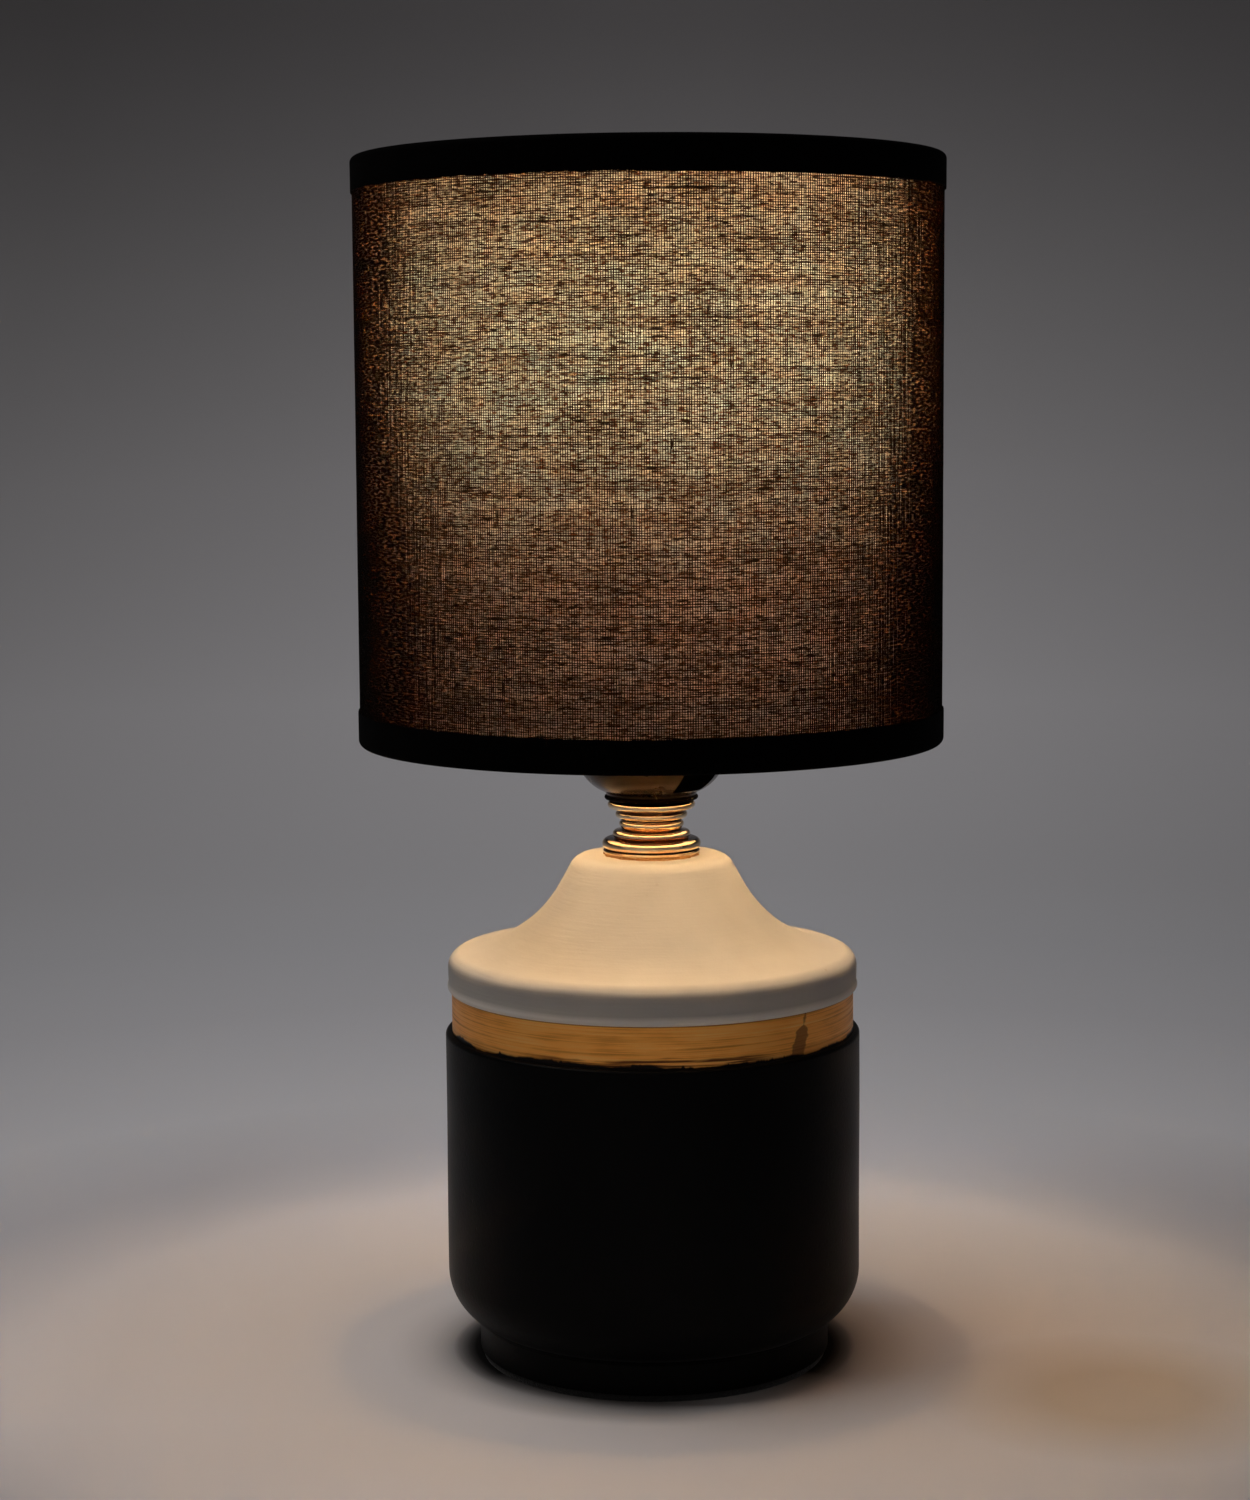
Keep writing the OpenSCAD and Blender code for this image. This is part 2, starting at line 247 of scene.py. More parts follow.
def distance_to(tree, centre):
    """How far a point of the piece is from a centre, in metres."""
    vectors = {0: place(tree), 1: centre}
    return add(tree, "VectorMath", vectors, operation="DISTANCE").outputs["Value"]


def unrolled(tree, radius):
    """Where a point is on a drum that is rolled out flat: along the cloth and up it, in mm."""
    parts = add(tree, "SeparateXYZ", {0: place(tree)})
    back = math_node(tree, "MULTIPLY", parts.outputs["Y"], -1.0)
    angle = math_node(tree, "ARCTAN2", parts.outputs["X"], back)
    along = math_node(tree, "MULTIPLY", angle, radius)
    up = math_node(tree, "MULTIPLY", parts.outputs["Z"], 1 / MM)
    return along, up


def noise(tree, vector, scale, detail=3.0, roughness=0.5):
    """Noise in 0 to 1, with that many features to the unit of the vector."""
    inputs = {"Vector": vector, "Scale": scale, "Detail": detail, "Roughness": roughness}
    return add(tree, "TexNoise", inputs).outputs["Fac"]


def stretched(tree, along, up, length, height, detail=2.0, seed=0.0):
    """Noise in patches of that length along the cloth and that height up it, in mm."""
    x = math_node(tree, "DIVIDE", along, length)
    y = math_node(tree, "DIVIDE", up, height)
    vector = add(tree, "CombineXYZ", {0: x, 1: y, 2: seed}).outputs[0]
    return noise(tree, vector, 1.0, detail)


def bump(tree, shader, height, distance):
    """Relief from a height in 0 to 1, over that distance in mm."""
    inputs = {"Height": height, "Distance": distance * MM, "Strength": 1.0}
    tree.links.new(add(tree, "Bump", inputs).outputs["Normal"], shader.inputs["Normal"])


def speckled(name, dark, light, grain, relief, rough, **values):
    """A plain material with grain: its colour and roughness vary, and it has fine relief.
    grain is the size of the speckles and relief their depth, in mm; rough is a range."""
    made, tree, shader = material(name, **values)
    fine = noise(tree, place(tree), 1 / (grain * MM), 5.0, 0.6)
    broad = noise(tree, place(tree), 1 / (grain * 14 * MM), 2.0)
    mixed = math_node(tree, "MULTIPLY_ADD", broad, 0.5, math_node(tree, "MULTIPLY", fine, 0.5))
    tree.links.new(ramp(tree, mixed, (0.35, dark), (0.65, light)), shader.inputs["Base Color"])
    tree.links.new(ramp(tree, mixed, (0.35, rough[0]), (0.65, rough[1])), shader.inputs["Roughness"])
    bump(tree, shader, fine, relief)
    return made


def matt_black():
    """Sprayed matt black over the ceramic: fine orange peel, soft clouds and small pinholes."""
    made, tree, shader = material("matt_black", Specular_IOR_Level=0.05, Sheen_Weight=0.05,
                                  Sheen_Roughness=0.3)
    at = place(tree)
    peel = noise(tree, at, 900.0, 4.0, 0.55)
    cloud = noise(tree, at, 26.0, 3.0)
    colour = ramp(tree, cloud, (0.3, (0.0004, 0.0004, 0.0005)), (0.7, (0.0012, 0.0011, 0.0011)))
    tree.links.new(colour, shader.inputs["Base Color"])
    tree.links.new(ramp(tree, cloud, (0.3, 0.40), (0.7, 0.50)), shader.inputs["Roughness"])
    pits = add(tree, "TexVoronoi", {"Vector": at, "Scale": 170.0, "Randomness": 1.0})
    hole = ramp(tree, pits.outputs["Distance"], (0.03, 0.0), (0.09, 1.0))
    relief = math_node(tree, "MULTIPLY_ADD", hole, 0.4, math_node(tree, "MULTIPLY", peel, 0.6))
    bump(tree, shader, relief, 0.09)
    return made


def matt_white(low):
    """Chalky off-white paint with soft brush marks and a few darker specks. The lip's upright face is
    painted greyer than the rest as painted shade, down to its bottom bead."""
    made, tree, shader = material("matt_white", Specular_IOR_Level=0.3)
    at = place(tree)
    cloud = noise(tree, at, 38.0, 4.0, 0.55)
    paint = ramp(tree, cloud, (0.3, (0.655, 0.63, 0.58)), (0.7, (0.74, 0.72, 0.67)))
    along, up = unrolled(tree, 50.0)
    # painted shade: the lip's upright face is made greyer here, from its bottom bead up
    from_low = math_node(tree, "MULTIPLY_ADD", up, 0.05, -0.05 * low)
    uneven = stretched(tree, along, up, 30.0, 4.0, detail=2.0, seed=3.0)
    lip_shade_share = math_node(tree, "MULTIPLY_ADD", uneven, 0.05, from_low)
    lip_painted_shade = ramp(tree, lip_shade_share, (0.10, 0.88), (0.16, 0.54), (0.41, 0.50), (0.48, 1.0))
    colour = mix_colours(tree, 1.0, paint, lip_painted_shade, "MULTIPLY")
    specks = add(tree, "TexVoronoi", {"Vector": at, "Scale": 95.0})
    dot = ramp(tree, specks.outputs["Distance"], (0.035, 1.0), (0.07, 0.0))
    specked = mix_colours(tree, math_node(tree, "MULTIPLY", dot, 0.25), colour, (0.42, 0.36, 0.28, 1))
    tree.links.new(specked, shader.inputs["Base Color"])
    tree.links.new(ramp(tree, cloud, (0.3, 0.5), (0.7, 0.68)), shader.inputs["Roughness"])
    brushed = stretched(tree, along, up, 18.0, 0.8, detail=3.0)
    grain = noise(tree, at, 1400.0, 3.0)
    relief = math_node(tree, "MULTIPLY_ADD", brushed, 0.7, math_node(tree, "MULTIPLY", grain, 0.3))
    bump(tree, shader, relief, 0.12)
    return made


def gold_paint(radius, low, high):
    """Metallic paint brushed round a band: long streaks, brown strokes low down, a dark smear, a wavy black
    edge where the base's black was painted over it, and a thin line of painted shade along its top, under
    the cap's lip."""
    made, tree, shader = material("gold_paint", Metallic=0.8)
    along, up = unrolled(tree, radius)
    from_low = math_node(tree, "SUBTRACT", up, low)
    from_high = math_node(tree, "SUBTRACT", high, up)

    streaks = stretched(tree, along, up, 55.0, 0.55, detail=4.0)
    patches = stretched(tree, along, up, 16.0, 4.0, detail=3.0, seed=7.0)
    mixed = math_node(tree, "MULTIPLY_ADD", streaks, 0.65, math_node(tree, "MULTIPLY", patches, 0.35))
    gold = ramp(tree, mixed, (0.30, (0.50, 0.19, 0.028)), (0.5, (1.0, 0.43, 0.08)),
                (0.70, (1.0, 0.56, 0.16)))

    strokes = stretched(tree, along, up, 24.0, 0.6, detail=2.0, seed=13.0)
    strokes = ramp(tree, strokes, (0.40, 0.0), (0.52, 1.0))
    wander = stretched(tree, along, up, 13.0, 60.0, detail=2.0, seed=19.0)
    places = ramp(tree, math_node(tree, "MULTIPLY_ADD", math_node(tree, "ABSOLUTE", along), -0.03, 1.5),
                  (0.45, 0.2), (0.75, 1.0))
    reach_up = math_node(tree, "MULTIPLY_ADD", wander, -3.2, from_low)
    low_down = ramp(tree, math_node(tree, "DIVIDE", reach_up, 2.0), (0.30, 1.0), (0.62, 0.0))
    stroke = math_node(tree, "MULTIPLY", math_node(tree, "MULTIPLY", strokes, places), low_down)
    brushed = mix_colours(tree, stroke, gold, (0.15, 0.048, 0.010, 1))

    smear_centre = math_node(tree, "MULTIPLY_ADD", from_low, 0.30, radius * 0.75)
    aside = math_node(tree, "ABSOLUTE", math_node(tree, "SUBTRACT", along, smear_centre))
    ragged = stretched(tree, along, up, 3.0, 2.2, detail=3.0, seed=29.0)
    half_width = add(tree, "MapRange", {0: from_low, 1: 6.6, 2: 8.4, 3: 3.0, 4: 0.8}).outputs[0]
    spread = math_node(tree, "MULTIPLY_ADD", ragged, 2.4, math_node(tree, "SUBTRACT", aside, half_width))
    smear = ramp(tree, spread, (0.45, 0.75), (1.0, 0.0))
    smeared = mix_colours(tree, smear, brushed, (0.16, 0.05, 0.012, 1))

    wave = stretched(tree, along, up, 11.0, 60.0, detail=3.0, seed=3.0)
    notch = stretched(tree, along, up, 2.6, 60.0, detail=2.0, seed=37.0)
    notch = ramp(tree, notch, (0.55, 0.0), (0.68, 1.0))
    edge = math_node(tree, "MULTIPLY_ADD", wave, 3.6, math_node(tree, "MULTIPLY_ADD", notch, 0.5, -1.35))
    over_edge = math_node(tree, "SUBTRACT", from_low, edge)
    # black: the wavy black paint edge at the bottom, and a thin line of painted shade at the top, under the
    # cap's lip
    black = math_node(tree, "MAXIMUM", ramp(tree, over_edge, (0.0, 1.0), (0.5, 0.0)),
                      ramp(tree, from_high, (0.0, 0.85), (0.45, 0.0)))
    edged_and_shaded = mix_colours(tree, black, smeared, (0.008, 0.005, 0.004, 1))
    tree.links.new(edged_and_shaded, shader.inputs["Base Color"])
    tree.links.new(ramp(tree, mixed, (0.3, 0.52), (0.7, 0.36)), shader.inputs["Roughness"])
    bump(tree, shader, streaks, 0.16)
    return made


def polished_brass(low, grooves):
    """Gold-plated brass with fine turning lines, small pits and painted shade in its grooves, whose heights
    above low are given in mm."""
    made, tree, shader = material("polished_brass", Metallic=1.0)
    at = place(tree)
    cloud = noise(tree, at, 160.0, 3.0)
    colour = ramp(tree, cloud, (0.35, (0.90, 0.60, 0.32)), (0.65, (0.98, 0.81, 0.54)))
    along, up = unrolled(tree, 10.0)
    tall = 16.0  # the height that the ramp of painted groove shade spans
    smudge = math_node(tree, "MULTIPLY_ADD", stretched(tree, along, up, 5.0, 3.0), 0.02, -low / tall - 0.01)
    height = math_node(tree, "MULTIPLY_ADD", up, 1 / tall, smudge)
    # the painted shade's tone across a groove, from below it to above it
    edges = [(-0.45, 1.0), (-0.16, (0.07, 0.03, 0.012)), (0.16, (0.05, 0.02, 0.01)),
             (0.25, (0.75, 0.45, 0.22)), (0.5, 1.0)]
    groove_shade = ramp(tree, height, *[((g + aside) / tall, level) for g in grooves for aside, level in edges])
    groove_shaded = mix_colours(tree, 1.0, colour, groove_shade, "MULTIPLY")
    tree.links.new(groove_shaded, shader.inputs["Base Color"])
    tree.links.new(ramp(tree, cloud, (0.35, 0.05), (0.7, 0.13)), shader.inputs["Roughness"])
    pits = add(tree, "TexVoronoi", {"Vector": at, "Scale": 420.0})
    hole = ramp(tree, pits.outputs["Distance"], (0.08, 0.0), (0.2, 1.0))
    lines = add(tree, "TexNoise", {"W": up, "Scale": 14.0, "Detail": 2.0}, noise_dimensions="1D")
    relief = math_node(tree, "MULTIPLY_ADD", lines.outputs["Fac"], 0.25, hole)
    bump(tree, shader, relief, 0.02)
    return made


def bronze_lacquer(radius, low):
    """Dark bronze lacquer over a spun steel bowl, with faint spin rings, a nearly black patch that is a
    painted dark reflection, and its collar painted black as painted shade."""
    made, tree, shader = material("bronze_lacquer", Metallic=0.9, Coat_Weight=0.06, Coat_Roughness=0.1)
    along, up = unrolled(tree, radius)
    cloud = noise(tree, place(tree), 90.0, 4.0)
    colour = ramp(tree, cloud, (0.3, (0.020, 0.0095, 0.0022)), (0.7, (0.040, 0.020, 0.0065)))
    aside = math_node(tree, "SUBTRACT", along, radius * 0.67)
    leaning = math_node(tree, "MULTIPLY_ADD", math_node(tree, "SUBTRACT", up, low), -0.35, aside)
    beside = ramp(tree, math_node(tree, "DIVIDE", math_node(tree, "ABSOLUTE", leaning), radius),
                  (0.345, 1.0), (0.365, 0.0))
    height = math_node(tree, "DIVIDE", math_node(tree, "SUBTRACT", up, low), 20.0)
    above = ramp(tree, height, (0.15, 0.0), (0.17, 1.0))
    collar_shade = ramp(tree, height, (0.065, 0.9), (0.08, 0.0))
    # painted reflection and shade: a nearly black patch where the bowl reflects something dark, and the
    # collar painted black over its reflections
    patch = math_node(tree, "MAXIMUM", math_node(tree, "MULTIPLY", beside, above), collar_shade)
    tree.links.new(colour, shader.inputs["Base Color"])
    tree.links.new(ramp(tree, cloud, (0.3, 0.2), (0.7, 0.32)), shader.inputs["Roughness"])
    rings = add(tree, "TexNoise", {"W": up, "Scale": 5.0, "Detail": 3.0}, noise_dimensions="1D")
    bump(tree, shader, rings.outputs["Fac"], 0.02)
    painted_dark = add(tree, "BsdfDiffuse", {"Color": (0.0008, 0.0006, 0.0005, 1)})
    use_surface(tree, mix_shaders(tree, patch, shader, painted_dark))
    return made


def opal_glow(low, high):
    """Opal shell of the lit bulb, which shines most near its tip."""
    made, tree, shader = material("opal_glow", Base_Color=(0.9, 0.86, 0.78, 1), Roughness=0.35)
    shader.inputs["Emission Color"].default_value = (1.0, 0.64, 0.32, 1)
    up = add(tree, "SeparateXYZ", {0: place(tree)}).outputs["Z"]
    share = add(tree, "MapRange", {0: up, 1: low * MM, 2: high * MM}).outputs[0]
    cloud = noise(tree, place(tree), 60.0)
    level = ramp(tree, share, (0.0, 0.03), (0.5, 0.36), (0.85, 1.0))
    patchy = math_node(tree, "MULTIPLY_ADD", cloud, 0.1, 0.95)
    strength = math_node(tree, "MULTIPLY", math_node(tree, "MULTIPLY", level, patchy), BULB_STRENGTH)
    tree.links.new(strength, shader.inputs["Emission Strength"])
    return made


def liner_plastic():
    """Thin white plastic sheet that the cloth is bonded to: it scatters the bulb's light through."""
    made, tree, shader = material("liner_plastic", Roughness=0.4, Specular_IOR_Level=0.4)
    cloud = noise(tree, place(tree), 120.0, 3.0)
    white = ramp(tree, cloud, (0.3, (0.72, 0.71, 0.68)), (0.7, (0.80, 0.79, 0.77)))
    tree.links.new(white, shader.inputs["Base Color"])
    through = add(tree, "BsdfTranslucent", {"Color": white})
    use_surface(tree, mix_shaders(tree, LINER_PASSES, shader, through))
    return made


def cloth_ground(radius, low, high):
    """The cloth between its raised yarns: fine holes that show the lit liner, closed here and there by
    short thick places of the weft and tinted in soft patches. How much light the holes pass changes up the
    cloth as painted light and shade, darker towards the bottom."""
    made, tree, shader = material("cloth_ground", Roughness=0.9, Specular_IOR_Level=0.2)
    along, up = unrolled(tree, radius)
    fibre = stretched(tree, along, up, 0.5, 0.4, detail=3.0)
    dashes = stretched(tree, along, up, 2.1, 0.34, detail=1.5, seed=11.0)
    long_dashes = stretched(tree, along, up, 6.0, 0.45, detail=2.0, seed=23.0)
    patch = stretched(tree, along, up, 26.0, 4.5, detail=3.0, seed=5.0)
    hue = stretched(tree, along, up, 11.0, 6.0, detail=2.0, seed=31.0)
    shut = ramp(tree, dashes, (0.47, 0.0), (0.62, 0.92))
    shut_long = ramp(tree, long_dashes, (0.58, 0.0), (0.68, 0.9))
    dense = ramp(tree, patch, (0.35, 0.0), (0.68, 0.34))
    fine = ramp(tree, fibre, (0.35, 0.0), (0.7, 0.42))
    closed = math_node(tree, "MAXIMUM", math_node(tree, "MAXIMUM", shut, shut_long), fine)
    closed = math_node(tree, "ADD", closed, dense)
    tint = ramp(tree, hue, (0.3, (1.0, 0.84, 0.68)), (0.5, (1.0, 0.97, 0.88)), (0.7, (0.90, 1.0, 1.0)))
    share = add(tree, "MapRange", {0: up, 1: low, 2: high}).outputs[0]
    # painted light and shade: the holes' see-through colour changes up the cloth, darker towards the
    # bottom, as the bulb's light falls unevenly
    height_light_tint = ramp(tree, share, (0.0, (0.44, 0.35, 0.44)), (0.10, (0.51, 0.43, 0.54)),
               (0.18, (0.56, 0.49, 0.62)), (0.28, (0.48, 0.42, 0.52)),
               (0.46, (0.50, 0.57, 0.71)), (0.62, (0.57, 0.72, 0.90)), (0.80, (0.66, 0.78, 0.92)),
               (1.0, (0.70, 0.68, 0.71)))
    light_tinted = mix_colours(tree, 1.0, tint, height_light_tint, "MULTIPLY")
    brown = ramp(tree, patch, (0.3, (0.009, 0.006, 0.004)), (0.7, (0.005, 0.004, 0.003)))
    tree.links.new(brown, shader.inputs["Base Color"])
    glow = add(tree, "BsdfTranslucent", {"Color": (0.36, 0.13, 0.05, 1)})
    thread = mix_shaders(tree, 0.15, shader, glow)
    hole = add(tree, "BsdfTransparent", {"Color": light_tinted})
    shut_share = add(tree, "Clamp", {0: closed, 1: CLOTH_SHUT, 2: 1.0}).outputs[0]
    use_surface(tree, mix_shaders(tree, shut_share, hole, thread))
    return made


def yarn(name, radius, length, height, share, loose=0.0):
    """Dark spun yarn, red-brown where the light comes through its fibres, which are of that length along
    the cloth and height up it. share is how much the yarn scatters through, and loose how much passes
    straight through its thin places."""
    made, tree, shader = material(name, Roughness=0.9, Specular_IOR_Level=0.03)
    along, up = unrolled(tree, radius)
    fibres = stretched(tree, along, up, length, height, detail=3.0)
    colour = ramp(tree, fibres, (0.35, (0.0022, 0.0016, 0.0013)), (0.65, (0.006, 0.0042, 0.003)))
    tree.links.new(colour, shader.inputs["Base Color"])
    glow = ramp(tree, fibres, (0.35, (0.20, 0.06, 0.02)), (0.65, (0.45, 0.17, 0.07)))
    through = add(tree, "BsdfTranslucent", {"Color": glow})
    thread = mix_shaders(tree, share, shader, through)
    if loose:
        thin = stretched(tree, along, up, 2.6, 0.5, detail=1.5, seed=41.0)
        open_share = ramp(tree, thin, (0.51, 0.0), (0.61, loose))
        gap = add(tree, "BsdfTransparent", {"Color": (1.0, 0.66, 0.44, 1)})
        thread = mix_shaders(tree, open_share, thread, gap)
    use_surface(tree, thread)
    return made


def woven_tape(radius):
    """Tightly woven black tape that lets no light through."""
    made, tree, shader = material("woven_tape", Roughness=0.95, Specular_IOR_Level=0.025)
    along, up = unrolled(tree, radius)
    vector = add(tree, "CombineXYZ", {0: along, 1: up}).outputs[0]
    ribs = add(tree, "TexWave", {"Vector": vector, "Scale": 0.75, "Distortion": 0.4}).outputs["Fac"]
    cloud = stretched(tree, along, up, 2.0, 0.5, detail=3.0)
    colour = ramp(tree, cloud, (0.3, (0.0003, 0.0002, 0.0002)), (0.7, (0.0012, 0.0009, 0.0008)))
    tree.links.new(colour, shader.inputs["Base Color"])
    relief = math_node(tree, "MULTIPLY_ADD", cloud, 0.5, math_node(tree, "MULTIPLY", ribs, 0.5))
    bump(tree, shader, relief, 0.15)
    return made


def felt():
    """Matted black felt, with loose fibres."""
    made, tree, shader = material("felt", Roughness=0.95, Sheen_Weight=0.3, Specular_IOR_Level=0.1)
    fuzz = noise(tree, place(tree), 1500.0, 5.0, 0.7)
    tree.links.new(ramp(tree, fuzz, (0.3, 0.008), (0.7, 0.03)), shader.inputs["Base Color"])
    bump(tree, shader, fuzz, 0.4)
    return made


# ----------------------------------------------------------------- stage

def make_camera():
    """A long lens, level with the middle of the shade and tilted a little down."""
    data = bpy.data.cameras.new("camera")
    data.lens = CAMERA_LENS
    data.clip_start, data.clip_end = 0.01, 20
    camera = bpy.data.objects.new("camera", data)
    bpy.context.scene.collection.objects.link(camera)
    stands = Matrix.Translation(CAMERA_AT)
    tilt = Matrix.Rotation(math.radians(CAMERA_TILT), 4, "X")
    roll = Matrix.Rotation(math.radians(CAMERA_ROLL), 4, "Z")
    camera.matrix_world = stands @ tilt @ roll
    bpy.context.scene.camera = camera


def sweep_paper():
    """Pale studio paper with painted light and shade in its tones, and a painted shadow ring where the
    lamp's foot stands.
    """
    made, tree, shader = material("sweep_paper", Roughness=0.8, Specular_IOR_Level=0.2)
    parts = add(tree, "SeparateXYZ", {0: place(tree)})
    right = parts.outputs["X"]
    front = math_node(tree, "MULTIPLY", parts.outputs["Y"], -1.0)
    tree.links.new(paper_tone(tree, right, front), shader.inputs["Base Color"])
    bump(tree, shader, noise(tree, place(tree), 90.0, 4.0), 0.05)
    # painted shadow: a black surface mixed in round the lamp's foot
    black = add(tree, "BsdfDiffuse", {"Color": (0.002, 0.002, 0.002, 1)})
    use_surface(tree, mix_shaders(tree, foot_shadow(tree, right, front), shader, black))
    return made


def paper_tone(tree, right, front):
    """The paper's colour, with light and shade painted into it. It darkens up the wall and to its sides as
    painted shade, with painted warmer and bluer tones round the lamp, and a little before the lamp at its
    right as a painted shadow, where it has a painted warm patch of light. It stays pale well in front,
    where the camera sees little of it."""
    level = add(tree, "VectorMath", {0: place(tree), 1: (1, 1, 0)}, operation="MULTIPLY").outputs[0]
    away = add(tree, "VectorMath", {0: level}, operation="LENGTH").outputs["Value"]
    share = math_node(tree, "DIVIDE", away, SWEEP_REACH)
    # painted light and shade: warmer and bluer tones round the lamp, darker up the wall
    tone = ramp(tree, share, (0.055, (0.84, 0.785, 0.76)), (0.09, (0.82, 0.83, 0.90)),
                (0.15, (0.75, 0.755, 0.79)), (0.25, (0.635, 0.64, 0.675)), (0.33, (0.61, 0.62, 0.655)),
                (0.42, (0.625, 0.63, 0.66)), (0.62, (0.68, 0.68, 0.71)), (0.75, (0.52, 0.515, 0.535)),
                (0.83, (0.355, 0.35, 0.36)), (0.905, (0.165, 0.16, 0.165)))
    sideways = math_node(tree, "ABSOLUTE", math_node(tree, "SUBTRACT", right, 0.03))
    shade = ramp(tree, sideways, (0.05, 1.0), (0.2, 0.92), (0.5, 0.69))
    # painted shade: darker near the lamp to its sides
    near = ramp(tree, share, (0.12, 1.0), (0.16, 0.0))
    near_side = math_node(tree, "MULTIPLY", near, ramp(tree, sideways, (0.08, 0.0), (0.18, 0.20)))
    shade = math_node(tree, "SUBTRACT", shade, near_side)
    # painted shadow: darker before the lamp at its right
    before = ramp(tree, front, (0.06, 0.0), (0.115, 1.0))
    before_right = math_node(tree, "MULTIPLY", before, ramp(tree, right, (0.0, 0.10), (0.12, 0.27)))
    shade = math_node(tree, "SUBTRACT", shade, before_right)
    painted_falloff = add(tree, "VectorMath", {0: tone, 1: shade}, operation="MULTIPLY").outputs[0]
    # painted light: a warm patch on the floor at the lamp's right
    from_warm_light = math_node(tree, "MULTIPLY", distance_to(tree, (0.125, -0.045, 0)), 10.0)
    patch = ramp(tree, from_warm_light, (0.2, 1.0), (0.55, 0.0))
    painted_warm = mix_colours(tree, patch, painted_falloff, (0.78, 0.70, 0.58, 1), "MULTIPLY")
    pale = ramp(tree, front, (0.33, 0.0), (0.65, 0.8))
    return mix_colours(tree, pale, painted_warm, (0.9, 0.88, 0.86, 1))


def foot_shadow(tree, right, front):
    """How black the paper is round the lamp's foot: nearly black at its sides, and less in front of it,
    least of all at the front's right."""
    foot = distance_to(tree, (0, 0.004, 0))
    out = add(tree, "MapRange", {0: foot, 1: 0.048, 2: 0.078}).outputs[0]
    beside = ramp(tree, out, (0.0, 0.99), (0.083, 0.98), (0.14, 0.93), (0.2, 0.83), (0.25, 0.72),
                  (0.3, 0.52), (0.36, 0.41), (0.433, 0.31), (0.507, 0.22), (0.6, 0.14), (0.8, 0.03),
                  (0.93, 0.0))
    in_front = ramp(tree, out, (0.163, 0.66), (0.267, 0.50), (0.373, 0.43), (0.48, 0.38), (0.587, 0.25),
                    (0.693, 0.07), (0.763, 0.0))
    left = ramp(tree, math_node(tree, "ADD", right, 0.1), (0.10, 1.0), (0.12, 0.3))
    ahead = ramp(tree, math_node(tree, "DIVIDE", front, foot), (0.45, 0.0), (0.85, 1.0))
    return mix_colours(tree, ahead, beside, math_node(tree, "MULTIPLY", in_front, left))


def make_stage():
    """A round sweep: a flat floor that curves up into a wall on every side. Two soft lights stand over
    it, and a small warm one throws a reddish glow on the floor at the lamp's right."""
    floor_r, wall_r, wall_h = 900.0, 1900.0, 2600.0
    curve_r = wall_r - floor_r
    profile = [(0, 0), (200, 0), (500, 0), *arc(floor_r, curve_r, curve_r, -90, 0, 24), (wall_r, wall_h)]
    sweep = turned("studio_sweep", profile, closed=False, steps=96)
    sweep.data.materials.append(sweep_paper())
    softbox("overhead", SOFTBOX_WATTS, (1.0, 0.965, 0.955), size=1.1,
            at=(-0.60, -0.06, 1.68), target=(0, 0, 0))
    softbox("backdrop_light", BACKDROP_WATTS, (1.0, 0.98, 0.98), size=0.4,
            at=(0.35, 1.0, 1.5), target=(0.28, 1.8, 0.5))
    softbox("warm_card", CARD_WATTS, (1.0, 0.55, 0.27), size=0.04,
            at=(0.10, 0.01, 0.08), target=(0.087, 0, 0))
    world = bpy.data.worlds.new("studio")
    bpy.context.scene.world = world
    world.use_nodes = True
    background = world.node_tree.nodes["Background"]
    background.inputs["Color"].default_value = (0.5, 0.52, 0.56, 1)
    background.inputs["Strength"].default_value = WORLD_STRENGTH


def softbox(name, watts, colour, size, at, target):
    """A square soft light that faces its target and isn't seen itself."""
    data = bpy.data.lights.new(name, "AREA")
    data.size, data.energy, data.color = size, watts, colour
    light = bpy.data.objects.new(name, data)
    bpy.context.scene.collection.objects.link(light)
    light.location = at
    light.rotation_euler = (Vector(target) - Vector(at)).to_track_quat("-Z", "Y").to_euler()
    light.visible_camera = False


# --------------------------------------------------------- ceramic base


def hand_made(depth, seed):
    """A change for turned(): slow swells round a ceramic piece, of that depth in mm."""
    rng = np.random.default_rng(seed)
    phase = rng.uniform(0, 2 * math.pi, 4)

    def change(angle, radius, height):
        swell = (np.sin(2 * angle + phase[0]) + 0.6 * np.sin(3 * angle + phase[1] + height / 9)
                 + 0.4 * np.sin(5 * angle + phase[2] - height / 14) + 0.2 * np.sin(9 * angle + phase[3]))
        most = 2.2  # all four waves at their height
        return radius + depth * swell / most * np.clip(radius / 40, 0, 1), height

    return change


def make_base():
    """The black ceramic body: a drum with a rounded lower corner on a narrower foot, hollow inside."""
    base_r, foot_z, base_top = reach("ceramic_base")
    foot_r, foot_h, corner = 49.0, 10.5, 15.0
    inner_r, edge = base_r - 5, 1.2
    corner_z = foot_h + corner - 0.6
    outside = [(foot_r - 0.6, foot_z), *arc(foot_r - 0.5, foot_z + 0.5, 0.5, -60, 0, 4),
               (foot_r, foot_h - 1), *arc(foot_r + 0.7, foot_h - 0.2, 0.7, 180, 110, 4),
               *arc(base_r - corner, corner_z, corner, -62, 0, 22),
               *[(base_r, z) for z in np.arange(corner_z + 3, base_top - edge - 1, 3.0)],
               *arc(base_r - edge, base_top - edge, edge, 0, 90, 8)]
    inside = [(inner_r - 1, base_top), (inner_r - 1, base_top - 6), (inner_r, base_top - 7),
              (inner_r, corner_z), (inner_r - 8, 19), (11, 19)]
    underside = [(11, 14), (foot_r - 6, 14), (foot_r - 5, foot_z)]
    base = turned("base_body", outside + inside + underside, change=hand_made(depth=0.12, seed=3))
    cut_cord_hole(base)
    dress(base, "root", matt_black(), "ceramic_black", "ceramic_base")


